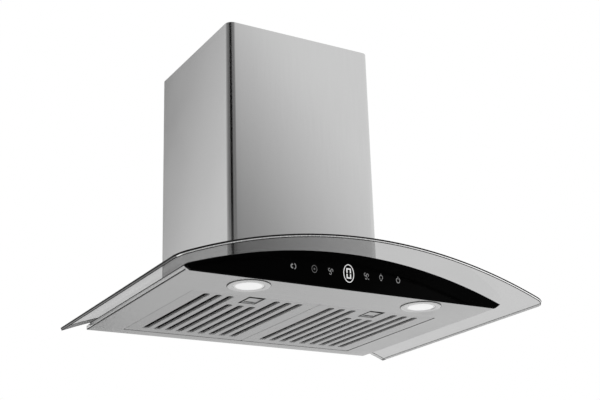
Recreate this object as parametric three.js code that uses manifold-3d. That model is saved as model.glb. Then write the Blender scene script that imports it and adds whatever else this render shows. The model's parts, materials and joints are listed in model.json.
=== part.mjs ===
// A 600 mm wall hood: an arched glass canopy on a shallow steel body, with a black touch panel
// in front, two baffle filters and two lamps below, and a telescopic chimney round the blower.
// Millimetres. +Z is up, +Y points at the wall, and X runs to the right seen from the front.
// Inside this file heights count from the underside of the body; the finished group is then
// lowered, so that its origin lies on the wall, midway between the two hanging windows.
import * as THREE from "three";
import { mergeVertices } from "three/addons/utils/BufferGeometryUtils.js";
import Module from "manifold-3d";

const wasm = await Module();
wasm.setup();

// ---------------------------------------------------------------- driving dimensions

const sheet = 1; // folded steel sheet
const fit = 0.3; // gap between two pieces that touch
const over = 10; // how far a cutting tool runs past the piece that it cuts
const aboveGlass = 90; // higher than the top of the glass
const belowGlass = -40; // lower than the side edges of the glass
const sides = { left: -1, right: 1 };

const glass = {
  width: 600,
  depth: 435,
  thickness: 5,
  radius: 795, // of the top face
  apex: 58, // height of the top face at the middle
  corner: 15, // plan radius of the two front corners
  notchHalf: 122,
  notchDepth: 243,
};
const gasket = { thickness: 2.5, width: 10, halfWidth: 254, back: -4, front: -366 };
const body = { halfWidth: 258, depth: 370 };
const airOpening = { halfWidth: 109, back: -13, front: -231 };
const backPanel = { thickness: 1.2, towerHalf: 100, towerTop: 150 };
const hangingWindow = { x: 75, height: 125, width: 20, opening: 14 };
const fascia = {
  back: -370.3,
  front: -376,
  bottom: -3,
  bottomHalf: 253,
  tipHalf: 262,
  apex: 50.5,
  radius: 765,
};
const touchBoard = { halfWidth: 118, bottom: 8, top: 34, thickness: 1.2, pocket: 2, room: 2 };
const lamp = { x: 145, y: -332, ringRadius: 31, barrel: 27.4, lensRadius: 21.6, hole: 28 };

const filterOpening = { halfWidth: 206.4, back: -22.5, front: -282.1 };
const filter = {
  x: 103.1,
  halfWidth: 102.8,
  back: -26,
  front: -281.6,
  height: 11,
  tab: { x: 60, halfWidth: 10, length: 12, bottom: 2, top: 3.2 },
};
const slot = { count: 9, pitch: 18.9, width: 10, back: -43, front: -272, shortFront: -230 };
const latchWindow = { halfWidth: 13.5, back: -242, front: -280 };
const latch = { left: -9.5, right: 17, back: -238, front: -276, bottom: 1.3, top: 2.5 };
const latchGrip = { left: -6.5, right: 10.5, back: -246.5, front: -251 };
const latchTongue = { halfWidth: 5, back: -262, front: -281.3, bottom: 1.8, top: 4.5 };
const latchRoof = {
  left: -16,
  right: 22,
  back: -243,
  front: -272,
  bottom: 6,
  top: 7,
  wall: 1.5,
  stopHalf: 3,
};
const latchSpring = { radius: 1.1, wire: 0.35, turns: 5, height: 4.2, back: -246, front: -260.8 };

const chimney = {
  halfWidth: 131,
  front: -249,
  back: -0.5,
  cornerRadius: 12,
  top: 454,
  flange: 12,
};
const innerCover = { clearance: 0.8, back: -2.3, flange: 22, bottom: 58.6, top: 451 };
const chimneyBracket = { plateHalf: 104, earX: 127.9, step: 5, earDepth: 30, low: 420, high: 445 };

const motorBox = { halfWidth: 110, back: -12, front: -232, top: 300, flangeHalf: 121.4 };
const blower = { y: -122, z: 175, halfWidth: 71, wall: 1.2, inletRadius: 60 };
const volute = { tongueRadius: 82, throatRadius: 106, tongueAngle: 60, throatAngle: -180, steps: 30 };
const outlet = { back: -80 };
const impeller = {
  radius: 74,
  bladeInner: 61,
  halfLength: 60,
  blades: 20,
  bladeAngle: 25,
  bladeHalf: 0.6,
  bladeInset: 0.75,
  discInset: 2,
  rim: 2,
  hubRadius: 10,
  hubHalf: 10,
};
const motor = { radius: 44, near: 14, far: 84, edge: 4, boss: 12, bossLength: 3, shaftDepth: 24 };
const shaft = { radius: 4, bore: 4.115, start: -9, endGap: 0.5 };
const bracket = { thickness: 3, clampWall: 3, clampLength: 9, armHalf: 6, armReach: 74 };
const guard = { thickness: 2, outer: 64, inner: 61, barReach: 62.5, barHalf: 1.5 };
const capacitor = { x: 94, y: -34, radius: 14, low: 200, high: 262 };
const controlBox = { left: -20, right: 100, back: -18, front: -64, height: 40 };
const collar = {
  y: -154,
  radius: 75,
  wall: 1.5,
  height: 50,
  flangeRadius: 84,
  mouthRadius: 69,
  seatHeight: 9,
  seatThickness: 1.2,
  seatWidth: 5,
  barHalf: 6,
};
const gland = { x: -70, y: -42, bore: 4, hole: 8.3 };
const damper = {
  pinRadius: 1.5,
  pinHeight: 14,
  pinHalf: 76,
  radius: 72,
  edge: 3.5,
  thickness: 1,
  knuckle: { radius: 2.8, bore: 1.75, halfLength: 8.5, places: [-42, 22] },
};

// ---------------------------------------------------------------- finishes

const finish = {
  steel: { color: 0xb4b5b6, roughness: 0.32, metalness: 1 },
  filterSteel: { color: 0xa4a5a6, roughness: 0.36, metalness: 1 },
  galvanised: { color: 0x9a9ea1, roughness: 0.5, metalness: 1 },
  glass: { color: 0xdfe6e4, roughness: 0.03, metalness: 0, transparent: true, opacity: 0.35 },
  blackGlass: { color: 0x050506, roughness: 0.06, metalness: 0 },
  rubber: { color: 0x151515, roughness: 0.8, metalness: 0 },
  blackPlastic: { color: 0x1c1d1e, roughness: 0.5, metalness: 0 },
  greyPlastic: { color: 0x6d7073, roughness: 0.5, metalness: 0 },
  board: { color: 0x14402a, roughness: 0.6, metalness: 0 },
  lens: { color: 0xffffff, roughness: 0.3, metalness: 0, emissive: 0xffffff },
};
for (const name of Object.keys(finish)) finish[name] = new THREE.MeshStandardMaterial(finish[name]);

// ---------------------------------------------------------------- joining and cutting

function solidOf(geometry) {
  const bare = geometry.clone();
  bare.deleteAttribute("normal");
  bare.deleteAttribute("uv");
  const merged = mergeVertices(bare, 1e-4);
  return new wasm.Manifold(
    new wasm.Mesh({
      numProp: 3,
      vertProperties: merged.attributes.position.array,
      triVerts: new Uint32Array(merged.index.array),
    }),
  );
}

function geometryOf(solid) {
  const mesh = solid.getMesh();
  const geometry = new THREE.BufferGeometry();
  geometry.setAttribute("position", new THREE.BufferAttribute(mesh.vertProperties, 3));
  geometry.setIndex(new THREE.BufferAttribute(mesh.triVerts, 1));
  geometry.computeVertexNormals();
  return geometry;
}

function joined(...geometries) {
  return geometryOf(geometries.map(solidOf).reduce((whole, part) => whole.add(part)));
}

function cut(geometry, ...tools) {
  return geometryOf(tools.map(solidOf).reduce((rest, tool) => rest.subtract(tool), solidOf(geometry)));
}

function common(a, b) {
  return geometryOf(solidOf(a).intersect(solidOf(b)));
}

// ---------------------------------------------------------------- basic shapes

function block(x0, x1, y0, y1, z0, z1) {
  const box = new THREE.BoxGeometry(Math.abs(x1 - x0), Math.abs(y1 - y0), Math.abs(z1 - z0));
  return box.translate((x0 + x1) / 2, (y0 + y1) / 2, (z0 + z1) / 2);
}

// An outline drawn in plan, raised from one height to another.
function raised(shape, low, high, curveSegments = 12) {
  const options = { depth: high - low, bevelEnabled: false, curveSegments };
  return new THREE.ExtrudeGeometry(shape, options).translate(0, 0, low);
}

// An outline drawn in x and z, as seen from the front, running from back to front.
function frontal(shape, back, front, curveSegments) {
  const options = { depth: back - front, bevelEnabled: false, curveSegments };
  return new THREE.ExtrudeGeometry(shape, options).rotateX(Math.PI / 2).translate(0, back, 0);
}

// An outline drawn in y and z, as seen from the side, running along X.
function sideways(shape, left, right) {
  const options = { depth: right - left, bevelEnabled: false };
  const alongX = new THREE.Matrix4().makeBasis(
    new THREE.Vector3(0, 1, 0),
    new THREE.Vector3(0, 0, 1),
    new THREE.Vector3(1, 0, 0),
  );
  return new THREE.ExtrudeGeometry(shape, options).applyMatrix4(alongX).translate(left, 0, 0);
}

// A closed profile of [radius, height] pairs turned about +Z.
function turned(profile, segments = 36) {
  const points = [...profile, profile[0]].map(([radius, height]) => new THREE.Vector2(radius, height));
  return new THREE.LatheGeometry(points, segments).rotateX(Math.PI / 2);
}

function ring(outer, inner, low, high, segments) {
  return turned([[inner, low], [outer, low], [outer, high], [inner, high]], segments);
}

function rod(radius, low, high, segments = 24) {
  const cylinder = new THREE.CylinderGeometry(radius, radius, high - low, segments);
  return cylinder.rotateX(Math.PI / 2).translate(0, 0, (low + high) / 2);
}

function polygon(points) {
  return new THREE.Shape(points.map(([x, y]) => new THREE.Vector2(x, y)));
}

function rectangle(x0, x1, y0, y1) {
  return polygon([[x0, y0], [x1, y0], [x1, y1], [x0, y1]]);
}

// A slot with round ends, its length along y.
function roundSlot(x, back, front, width) {
  const radius = width / 2;
  const shape = new THREE.Path();
  shape.absarc(x, back - radius, radius, 0, Math.PI, false);
  shape.absarc(x, front + radius, radius, Math.PI, 2 * Math.PI, false);
  return shape;
}

// ---------------------------------------------------------------- the arch

const archCentre = glass.apex - glass.radius;

function archHeight(x, drop) {
  return archCentre + Math.sqrt((glass.radius - drop) ** 2 - x * x);
}

const archStep = THREE.MathUtils.degToRad(1.5);

// A curved layer that lies from topDrop to bottomDrop under the top face of the glass.
function archLayer(topDrop, bottomDrop, halfWidth, back, front) {
  const reach = Math.asin(halfWidth / (glass.radius - topDrop));
  const [start, end] = [Math.PI / 2 - reach, Math.PI / 2 + reach];
  const shape = new THREE.Shape();
  shape.absarc(0, archCentre, glass.radius - topDrop, start, end, false);
  shape.absarc(0, archCentre, glass.radius - bottomDrop, end, start, true);
  return frontal(shape, back, front, Math.ceil((2 * reach) / archStep));
}

// Everything under the curve that lies a given distance below the top face of the glass.
function underArch(drop) {
  const radius = glass.radius - drop;
  const halfWidth = glass.width / 2 + 2 * over;
  const reach = Math.asin(halfWidth / radius);
  const shape = new THREE.Shape();
  shape.absarc(0, archCentre, radius, Math.PI / 2 - reach, Math.PI / 2 + reach, false);
  shape.lineTo(-halfWidth, belowGlass - 2 * over);
  shape.lineTo(halfWidth, belowGlass - 2 * over);
  return frontal(shape, over, -glass.depth - over, Math.ceil((2 * reach) / archStep));
}

// Drops of the layers that are stacked under the glass.
const gasketTop = glass.thickness + fit;
const gasketBottom = gasketTop + gasket.thickness;
const shellTop = gasketBottom + fit;
const shellBottom = shellTop + sheet;

// ---------------------------------------------------------------- the assembly

const hood = new THREE.Group();
hood.position.z = -hangingWindow.height;

function add(name, geometry, material, parent = hood) {
  const mesh = new THREE.Mesh(geometry, material);
  mesh.name = name;
  parent.add(mesh);
  return mesh;
}

function groupAt(x, y, z) {
  const group = new THREE.Group();
  group.position.set(x, y, z);
  hood.add(group);
  return group;
}

// ---------------------------------------------------------------- glass and its fixings

const glassScrew = { x: 165, rows: { front: -205, back: -60 }, head: 8, shank: 2.2, length: 13 };
const glassHoleRadius = 4;
const shellHoleRadius = 2.8;

// A group that stands square on the glass at a point of its top face.
function groupOnGlass(x, y) {
  const group = groupAt(x, y, archHeight(x, 0));
  group.rotation.y = Math.asin(x / glass.radius);
  group.updateMatrix();
  return group;
}

const screwPlaces = [];
for (const [side, sign] of Object.entries(sides)) {
  for (const [row, y] of Object.entries(glassScrew.rows)) {
    screwPlaces.push({ name: `glass_screw_${side}_${row}`, group: groupOnGlass(sign * glassScrew.x, y) });
  }
}

function screwHoles(radius) {
  return screwPlaces.map(({ group }) => rod(radius, -2 * over, over, 12).applyMatrix4(group.matrix));
}

function glassCanopy() {
  const half = glass.width / 2;
  const { corner } = glass;
  const plan = new THREE.Shape();
  plan.moveTo(half, 0);
  plan.lineTo(glass.notchHalf, 0);
  plan.lineTo(glass.notchHalf, -glass.notchDepth);
  plan.lineTo(-glass.notchHalf, -glass.notchDepth);
  plan.lineTo(-glass.notchHalf, 0);
  plan.lineTo(-half, 0);
  plan.lineTo(-half, -glass.depth + corner);
  plan.absarc(-half + corner, -glass.depth + corner, corner, Math.PI, 1.5 * Math.PI, false);
  plan.absarc(half - corner, -glass.depth + corner, corner, 1.5 * Math.PI, 2 * Math.PI, false);
  const pane = archLayer(0, glass.thickness, half, 0, -glass.depth);
  return cut(common(pane, raised(plan, belowGlass, aboveGlass, 8)), ...screwHoles(glassHoleRadius));
}

function glassGasket() {
  const { halfWidth, width, back, front } = gasket;
  const layer = archLayer(gasketTop, gasketBottom, halfWidth, back, front);
  const inside = block(width - halfWidth, halfWidth - width, back - width, front + width, 0, aboveGlass);
  const notch = block(-glass.notchHalf, glass.notchHalf, over, -glass.notchDepth, 0, aboveGlass);
  return cut(layer, inside, notch);
}

function glassScrewBody() {
  const { head, shank, length } = glassScrew;
  return turned(
    [
      [0, fit - length],
      [shank, fit - length],
      [shank, fit],
      [head, fit],
      [head, fit + 1],
      [head - 2, fit + 2.4],
      [0, fit + 2.8],
    ],
    14,
  );
}

add("glass_canopy", glassCanopy(), finish.glass);
add("glass_gasket", glassGasket(), finish.rubber);
for (const { name, group } of screwPlaces) add(name, glassScrewBody(), finish.steel, group);

// ---------------------------------------------------------------- steel body

function bodyPan() {
  const { halfWidth, depth } = body;
  const floorPlan = rectangle(-halfWidth, halfWidth, -depth, 0);
  const { halfWidth: openingHalf, back, front } = filterOpening;
  floorPlan.holes.push(rectangle(-openingHalf, openingHalf, front, back));
  for (const sign of Object.values(sides)) {
    floorPlan.holes.push(new THREE.Path().absarc(sign * lamp.x, lamp.y, lamp.hole, 0, 2 * Math.PI, true));
  }
  const floor = raised(floorPlan, 0, sheet, 16);
  const sideWalls = Object.values(sides).map((sign) =>
    block(sign * halfWidth, sign * (halfWidth - sheet), 0, -depth, 0, aboveGlass),
  );
  const frontWall = block(-halfWidth, halfWidth, -depth, -depth + sheet, 0, aboveGlass);
  return common(joined(floor, frontWall, ...sideWalls), underArch(gasketBottom));
}

function topShell() {
  const shell = archLayer(shellTop, shellBottom, body.halfWidth - 1.5, -1.5, -body.depth + 1.3);
  const { halfWidth, back, front } = airOpening;
  const opening = block(-halfWidth, halfWidth, back, front, 0, aboveGlass);
  return cut(shell, opening, ...screwHoles(shellHoleRadius));
}

function backPanelBody() {
  const { thickness, towerHalf, towerTop } = backPanel;
  const low = sheet + fit;
  const base = common(
    block(1.5 - body.halfWidth, body.halfWidth - 1.5, -thickness, 0, low, aboveGlass),
    underArch(gasketBottom),
  );
  const tower = block(-towerHalf, towerHalf, -thickness, 0, low, towerTop);
  const { x, height, width, opening } = hangingWindow;
  const [sill, lintel] = [height - opening / 2, height + opening / 2];
  const windows = Object.values(sides).map((sign) =>
    block(sign * x - width / 2, sign * x + width / 2, -over, over, sill, lintel),
  );
  return cut(joined(base, tower), ...windows);
}

add("body_pan", bodyPan(), finish.steel);
add("top_shell", topShell(), finish.steel);
add("back_panel", backPanelBody(), finish.galvanised);

// ---------------------------------------------------------------- touch panel

function fasciaPanel() {
  const { bottom, bottomHalf, tipHalf, apex, radius, back, front } = fascia;
  const reach = Math.asin(tipHalf / radius);
  const shape = new THREE.Shape();
  shape.moveTo(-bottomHalf, bottom);
  shape.lineTo(bottomHalf, bottom);
  shape.absarc(0, apex - radius, radius, Math.PI / 2 - reach, Math.PI / 2 + reach, false);
  const { halfWidth, bottom: boardLow, top: boardHigh, pocket, room } = touchBoard;
  const side = halfWidth + room;
  const boardPocket = block(-side, side, back + over, back - pocket, boardLow - room, boardHigh + room);
  return cut(frontal(shape, back, front, 32), boardPocket);
}

function touchBoardPlate() {
  const { halfWidth, bottom, top, thickness } = touchBoard;
  return block(-halfWidth, halfWidth, fascia.back - fit, fascia.back - fit - thickness, bottom, top);
}

add("fascia", fasciaPanel(), finish.blackGlass);
add("touch_board", touchBoardPlate(), finish.board);

// ---------------------------------------------------------------- lamps

function lampRing() {
  const inner = lamp.lensRadius + 0.4;
  return turned(
    [
      [inner, -1.2],
      [lamp.ringRadius - 1, -1.4],
      [lamp.ringRadius, -0.9],
      [lamp.ringRadius, -fit],
      [lamp.barrel, -fit],
      [lamp.barrel, 14],
      [lamp.barrel - 1.2, 14],
      [lamp.barrel - 1.2, 1.4],
      [inner, 1.4],
    ],
    28,
  );
}

function lampLens() {
  const { lensRadius } = lamp;
  return turned([[0, -1.1], [lensRadius - 0.6, -1], [lensRadius, -0.6], [lensRadius, 1.4], [0, 1.4]], 28);
}

// The light source, with a groove round its heat sink.
function lampModule() {
  const core = 14;
  const fin = lamp.barrel - 2;
  return turned([[0, 1.8], [fin, 1.8], [fin, 5], [core, 5], [core, 9], [fin, 9], [fin, 16], [0, 16]], 20);
}

for (const [side, sign] of Object.entries(sides)) {
  const place = groupAt(sign * lamp.x, lamp.y, 0);
  add(`lamp_ring_${side}`, lampRing(), finish.steel, place);
  add(`lamp_lens_${side}`, lampLens(), finish.lens, place);
  add(`lamp_module_${side}`, lampModule(), finish.greyPlastic, place);
}

// ---------------------------------------------------------------- filters and their latches

const slotOffsets = Array.from({ length: slot.count }, (_, i) => (i - (slot.count - 1) / 2) * slot.pitch);

// A slot under the latch ends short of it.
function slotFront(offset) {
  return Math.abs(offset) < 1.5 * slot.pitch ? slot.shortFront : slot.front;
}

function filterFace() {
  const { halfWidth, back, front, height, tab } = filter;
  const plan = rectangle(-halfWidth, halfWidth, front, back);
  plan.holes = slotOffsets.map((offset) => roundSlot(offset, slot.back, slotFront(offset), slot.width));
  const window = latchWindow;
  plan.holes.push(rectangle(-window.halfWidth, window.halfWidth, window.front, window.back));
  const face = raised(plan, 0, sheet, 4);
  const rim = cut(
    block(-halfWidth, halfWidth, front, back, 0, height),
    block(sheet - halfWidth, halfWidth - sheet, front + sheet, back - sheet, -over, height + over),
  );
  const tabs = Object.values(sides).map((sign) => {
    const [left, right] = [sign * tab.x - tab.halfWidth, sign * tab.x + tab.halfWidth];
    return block(left, right, back - sheet / 2, back + tab.length, tab.bottom, tab.top);
  });
  const gapHalf = latchTongue.halfWidth + 1;
  const tongueGap = block(-gapHalf, gapHalf, front - over, front + 2 * sheet, sheet, latchTongue.top + 0.5);
  return cut(joined(face, rim, ...tabs), tongueGap);
}

function filterBaffle() {
  const { halfWidth, back, front, height } = filter;
  const plan = rectangle(-halfWidth, halfWidth, front, back);
  for (const offset of slotOffsets.slice(1)) {
    plan.holes.push(roundSlot(offset - slot.pitch / 2, slot.back, slot.shortFront, slot.width - 2));
  }
  return raised(plan, height + fit, height + fit + sheet, 2);
}

function latchPlate() {
  const plan = rectangle(latch.left, latch.right, latch.front, latch.back);
  plan.holes.push(rectangle(latchGrip.left, latchGrip.right, latchGrip.front, latchGrip.back));
  const { halfWidth, back, front, bottom, top } = latchTongue;
  const tongue = block(-halfWidth, halfWidth, front, back, bottom, top);
  return joined(raised(plan, latch.bottom, latch.top), tongue);
}

// A bridge over the latch plate. Its tab behind the tongue holds the fixed end of the spring.
function latchGuide() {
  const { left, right, back, front, bottom, top, wall, stopHalf } = latchRoof;
  const foot = sheet + fit;
  return joined(
    block(left, right, front, back, bottom, top),
    block(left, left + wall, front, back, foot, top),
    block(right - wall, right, front, back, foot, top),
    block(-stopHalf, stopHalf, back - wall, back, latch.top + fit, top),
  );
}

// A coil spring along y: rings of a four-sided wire section on a helix, closed at both ends.
function coilSpring() {
  const { radius, wire, turns, height, back, front } = latchSpring;
  const stepsPerTurn = 6;
  const steps = turns * stepsPerTurn;
  const corners = 4;
  const positions = [];
  for (let i = 0; i <= steps; i++) {
    const angle = (i / stepsPerTurn) * 2 * Math.PI;
    const along = front + (back - front) * (i / steps);
    for (let k = 0; k < corners; k++) {
      const turn = (k / corners) * 2 * Math.PI;
      const out = radius + wire * Math.cos(turn);
      positions.push(out * Math.cos(angle), along + wire * Math.sin(turn), height + out * Math.sin(angle));
    }
  }
  const index = [];
  for (let i = 0; i < steps; i++) {
    for (let k = 0; k < corners; k++) {
      const [a, b] = [i * corners + k, i * corners + ((k + 1) % corners)];
      index.push(a, b, a + corners, b, b + corners, a + corners);
    }
  }
  for (let k = 1; k < corners - 1; k++) {
    index.push(0, k + 1, k);
    index.push(steps * corners, steps * corners + k, steps * corners + k + 1);
  }
  const geometry = new THREE.BufferGeometry();
  geometry.setAttribute("position", new THREE.Float32BufferAttribute(positions, 3));
  geometry.setIndex(index);
  geometry.computeVertexNormals();
  return geometry;
}

for (const [side, sign] of Object.entries(sides)) {
  const place = groupAt(sign * filter.x, 0, 0);
  add(`filter_face_${side}`, filterFace(), finish.filterSteel, place);
  add(`filter_baffle_${side}`, filterBaffle(), finish.filterSteel, place);
  add(`latch_guide_${side}`, latchGuide(), finish.filterSteel, place);
  add(`latch_spring_${side}`, coilSpring(), finish.steel, place);
  add(`latch_plate_${side}`, latchPlate(), finish.filterSteel, place);
}

// ---------------------------------------------------------------- motor box and blower

function motorBoxCasing() {
  const { halfWidth, back, front, top, flangeHalf } = motorBox;
  const walls = cut(
    block(-halfWidth, halfWidth, front, back, 0, top),
    block(sheet - halfWidth, halfWidth - sheet, front + sheet, back - sheet, -over, top - sheet),
    rod(collar.mouthRadius, top - over, top + over, 28).translate(0, collar.y, 0),
    rod(gland.hole, top - over, top + over, 12).translate(gland.x, gland.y, 0),
  );
  const flange = cut(
    archLayer(gasketBottom - sheet, gasketBottom, flangeHalf, -2, -glass.notchDepth + 0.6),
    block(sheet - halfWidth, halfWidth - sheet, front + sheet, back - sheet, 0, aboveGlass),
  );
  return joined(cut(walls, underArch(gasketBottom - sheet / 2)), flange);
}

// Side view of the volute, its wall moved inwards by inset. It ends in a straight neck.
function voluteOutline(inset, top) {
  const { tongueRadius, throatRadius, tongueAngle, throatAngle, steps } = volute;
  const points = [];
  for (let i = 0; i <= steps; i++) {
    const share = i / steps;
    const angle = THREE.MathUtils.degToRad(tongueAngle + (throatAngle - tongueAngle) * share);
    const radius = tongueRadius + (throatRadius - tongueRadius) * share - inset;
    points.push([blower.y + radius * Math.cos(angle), blower.z + radius * Math.sin(angle)]);
  }
  points.push([blower.y - throatRadius + inset, top], [outlet.back - inset, top]);
  return polygon(points.reverse());
}

const voluteTop = motorBox.top - sheet - fit;

// The curved wall of the volute, between its two side plates.
function scrollWrap() {
  const { halfWidth, wall } = blower;
  const half = halfWidth - wall - fit;
  const shell = sideways(voluteOutline(0, voluteTop), -half, half);
  return cut(shell, sideways(voluteOutline(wall, voluteTop + over), -half - over, half + over));
}

function scrollSide(left) {
  const { wall, inletRadius } = blower;
  const inlet = rod(inletRadius, left - over, left + wall + over, 30)
    .rotateY(Math.PI / 2)
    .translate(0, blower.y, blower.z);
  return cut(sideways(voluteOutline(0, voluteTop), left, left + wall), inlet);
}

// What turns or sits on the blower's axis is drawn about +Z and laid along X by this group.
const blowerAxis = groupAt(0, blower.y, blower.z);
blowerAxis.rotation.y = Math.PI / 2;

function impellerDisc() {
  const { radius, rim, hubRadius, hubHalf, discInset } = impeller;
  const bore = shaft.radius + fit;
  const hub = ring(hubRadius, bore, -hubHalf, hubHalf, 24);
  return joined(ring(radius - discInset, bore, -rim / 2, rim / 2, 24), hub);
}

// Heights along the axis, counted outwards from the disc. side is 1 on the right and -1 on the left.
const outward = (side, from, to) => (side > 0 ? [from, to] : [-to, -from]);

// The blades beside the disc, which stand on a foot ring.
function impellerBlades(side) {
  const { radius, bladeInner, halfLength, blades, bladeAngle, bladeHalf, bladeInset, rim } = impeller;
  const foot = rim / 2 + fit;
  const pieces = [ring(radius, bladeInner, ...outward(side, foot, foot + rim / 2), 24)];
  const chordHalf = (radius - bladeInner) / 2 - bladeInset;
  const bladeHeights = outward(side, foot + rim / 4, halfLength - rim - fit);
  for (let i = 0; i < blades; i++) {
    const blade = block(-chordHalf, chordHalf, -bladeHalf, bladeHalf, ...bladeHeights);
    blade.rotateZ(THREE.MathUtils.degToRad(bladeAngle)).translate((radius + bladeInner) / 2, 0, 0);
    pieces.push(blade.rotateZ((i / blades) * 2 * Math.PI));
  }
  return joined(...pieces);
}

// The ring that holds the outer ends of those blades.
function impellerRing(side) {
  const { radius, bladeInner, halfLength, rim } = impeller;
  return ring(radius, bladeInner, ...outward(side, halfLength - rim, halfLength), 24);
}

function motorBody() {
  const { radius, near, far, edge, boss, bossLength, shaftDepth } = motor;
  return turned(
    [
      [shaft.bore, near - bossLength],
      [boss, near - bossLength],
      [boss, near],
      [radius - edge, near],
      [radius, near + edge],
      [radius, far - edge],
      [radius - edge, far],
      [0, far],
      [0, far - shaftDepth],
      [shaft.bore, far - shaftDepth],
    ],
    24,
  );
}

function motorBracket() {
  const { thickness, clampWall, clampLength, armHalf, armReach } = bracket;
  const low = blower.halfWidth + fit;
  const inner = motor.radius + fit;
  const arm = () => block(inner + clampWall / 2, armReach, -armHalf, armHalf, low, low + thickness);
  const arms = [0, 1, 2].map((i) => arm().rotateZ((i / 3) * 2 * Math.PI));
  return joined(ring(inner + clampWall, inner, low, low + clampLength, 24), ...arms);
}

function inletGuard() {
  const { thickness, outer, inner, barReach, barHalf } = guard;
  const high = -blower.halfWidth - fit;
  const low = high - thickness;
  const bar = () => block(-barReach, barReach, -barHalf, barHalf, low, high);
  return joined(ring(outer, inner, low, high, 24), bar(), bar().rotateZ(Math.PI / 2));
}

function cableGland() {
  return turned([[gland.bore, 0], [12, 0], [12, 6], [9, 8], [9, 14], [6.5, 20], [gland.bore, 20]], 16);
}

function capacitorCan() {
  const { radius, low, high } = capacitor;
  return rod(radius, low, high, 20);
}

function controlBoxCase() {
  const { left, right, back, front, height } = controlBox;
  return block(left, right, front, back, motorBox.top + fit, motorBox.top + height);
}

add("motor_box", motorBoxCasing(), finish.galvanised);
add("scroll_wrap", scrollWrap(), finish.blackPlastic);
add("scroll_side_left", scrollSide(-blower.halfWidth), finish.blackPlastic);
add("scroll_side_right", scrollSide(blower.halfWidth - blower.wall), finish.blackPlastic);
add("impeller_disc", impellerDisc(), finish.greyPlastic, blowerAxis);
add("impeller_blades_left", impellerBlades(-1), finish.greyPlastic, blowerAxis);
add("impeller_blades_right", impellerBlades(1), finish.greyPlastic, blowerAxis);
add("impeller_ring_left", impellerRing(-1), finish.greyPlastic, blowerAxis);
add("impeller_ring_right", impellerRing(1), finish.greyPlastic, blowerAxis);
const shaftEnd = motor.far - motor.shaftDepth - shaft.endGap;
add("motor_shaft", rod(shaft.radius, shaft.start, shaftEnd, 24), finish.steel, blowerAxis);
add("motor", motorBody(), finish.galvanised, blowerAxis);
add("motor_bracket", motorBracket(), finish.galvanised, blowerAxis);
add("inlet_guard", inletGuard(), finish.galvanised, blowerAxis);
add("capacitor", capacitorCan(), finish.greyPlastic, groupAt(capacitor.x, capacitor.y, 0));
add("control_box", controlBoxCase(), finish.blackPlastic);
add("cable_gland", cableGland(), finish.blackPlastic, groupAt(gland.x, gland.y, motorBox.top + fit));

// ---------------------------------------------------------------- duct collar and its damper

const collarPlace = groupAt(0, collar.y, motorBox.top + fit);

// A rod along y through the damper's pivots.
function pinRod(rodRadius, halfLength) {
  return rod(rodRadius, -halfLength, halfLength, 10).rotateX(Math.PI / 2).translate(0, 0, damper.pinHeight);
}

function ductCollar() {
  const { radius, wall, height, flangeRadius, seatHeight, seatThickness, seatWidth, barHalf } = collar;
  const inner = radius - wall;
  const seatTop = seatHeight + seatThickness;
  const tube = turned(
    [
      [inner, 0],
      [flangeRadius, 0],
      [flangeRadius, sheet],
      [radius, sheet],
      [radius, height],
      [inner, height],
      [inner, seatTop],
      [inner - seatWidth, seatTop],
      [inner - seatWidth, seatHeight],
      [inner, seatHeight],
    ],
    30,
  );
  const barReach = inner - seatWidth / 2;
  const bar = block(-barHalf, barHalf, -barReach, barReach, seatHeight, seatTop);
  return cut(joined(tube, bar), pinRod(damper.pinRadius + fit, damper.pinHalf + over));
}

// One half of the butterfly damper, which hangs on the pin by two knuckles.
function damperFlap(side) {
  const { radius, pinHeight, edge, thickness, knuckle } = damper;
  const low = collar.seatHeight + collar.seatThickness + fit;
  const high = low + thickness;
  const reach = Math.acos(edge / radius);
  const halfDisc = new THREE.Shape().absarc(0, 0, radius, -reach, reach, false);
  const plate = raised(halfDisc, low, high, 16);
  const pieces = [plate];
  const { halfLength } = knuckle;
  for (const y of knuckle.places) {
    const barrel = rod(knuckle.radius, -halfLength, halfLength, 10).rotateX(Math.PI / 2);
    const root = block(0, edge + 1, y - halfLength, y + halfLength, low, high + 0.4);
    pieces.push(root, barrel.translate(0, y, pinHeight));
  }
  const flap = cut(joined(...pieces), pinRod(knuckle.bore, damper.pinHalf + over));
  return side === "right" ? flap : flap.rotateZ(Math.PI);
}

add("duct_collar", ductCollar(), finish.blackPlastic, collarPlace);
for (const side of Object.keys(sides)) {
  add(`damper_flap_${side}`, damperFlap(side), finish.greyPlastic, collarPlace);
}
add("damper_pin", pinRod(damper.pinRadius, damper.pinHalf), finish.steel, collarPlace);

// ---------------------------------------------------------------- chimney covers

// Plan of a three-sided cover: round front corners, and a narrow flange turned in at the wall.
function coverPlan(halfWidth, front, back, radius, flange) {
  const right = halfWidth - radius;
  const cornerY = front + radius;
  const plan = new THREE.Shape();
  plan.moveTo(flange - halfWidth, back);
  plan.lineTo(-halfWidth, back);
  plan.absarc(-right, cornerY, radius, Math.PI, 1.5 * Math.PI, false);
  plan.absarc(right, cornerY, radius, 1.5 * Math.PI, 2 * Math.PI, false);
  plan.lineTo(halfWidth, back);
  plan.lineTo(halfWidth - flange, back);
  plan.lineTo(halfWidth - flange, back - sheet);
  plan.lineTo(halfWidth - sheet, back - sheet);
  plan.absarc(right, cornerY, radius - sheet, 2 * Math.PI, 1.5 * Math.PI, true);
  plan.absarc(-right, cornerY, radius - sheet, 1.5 * Math.PI, Math.PI, true);
  plan.lineTo(sheet - halfWidth, back - sheet);
  plan.lineTo(flange - halfWidth, back - sheet);
  return plan;
}

function lowerCover() {
  const { halfWidth, front, back, cornerRadius, flange, top } = chimney;
  const plan = coverPlan(halfWidth, front, back, cornerRadius, flange);
  return cut(raised(plan, 0, top, 6), underArch(-fit));
}

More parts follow.
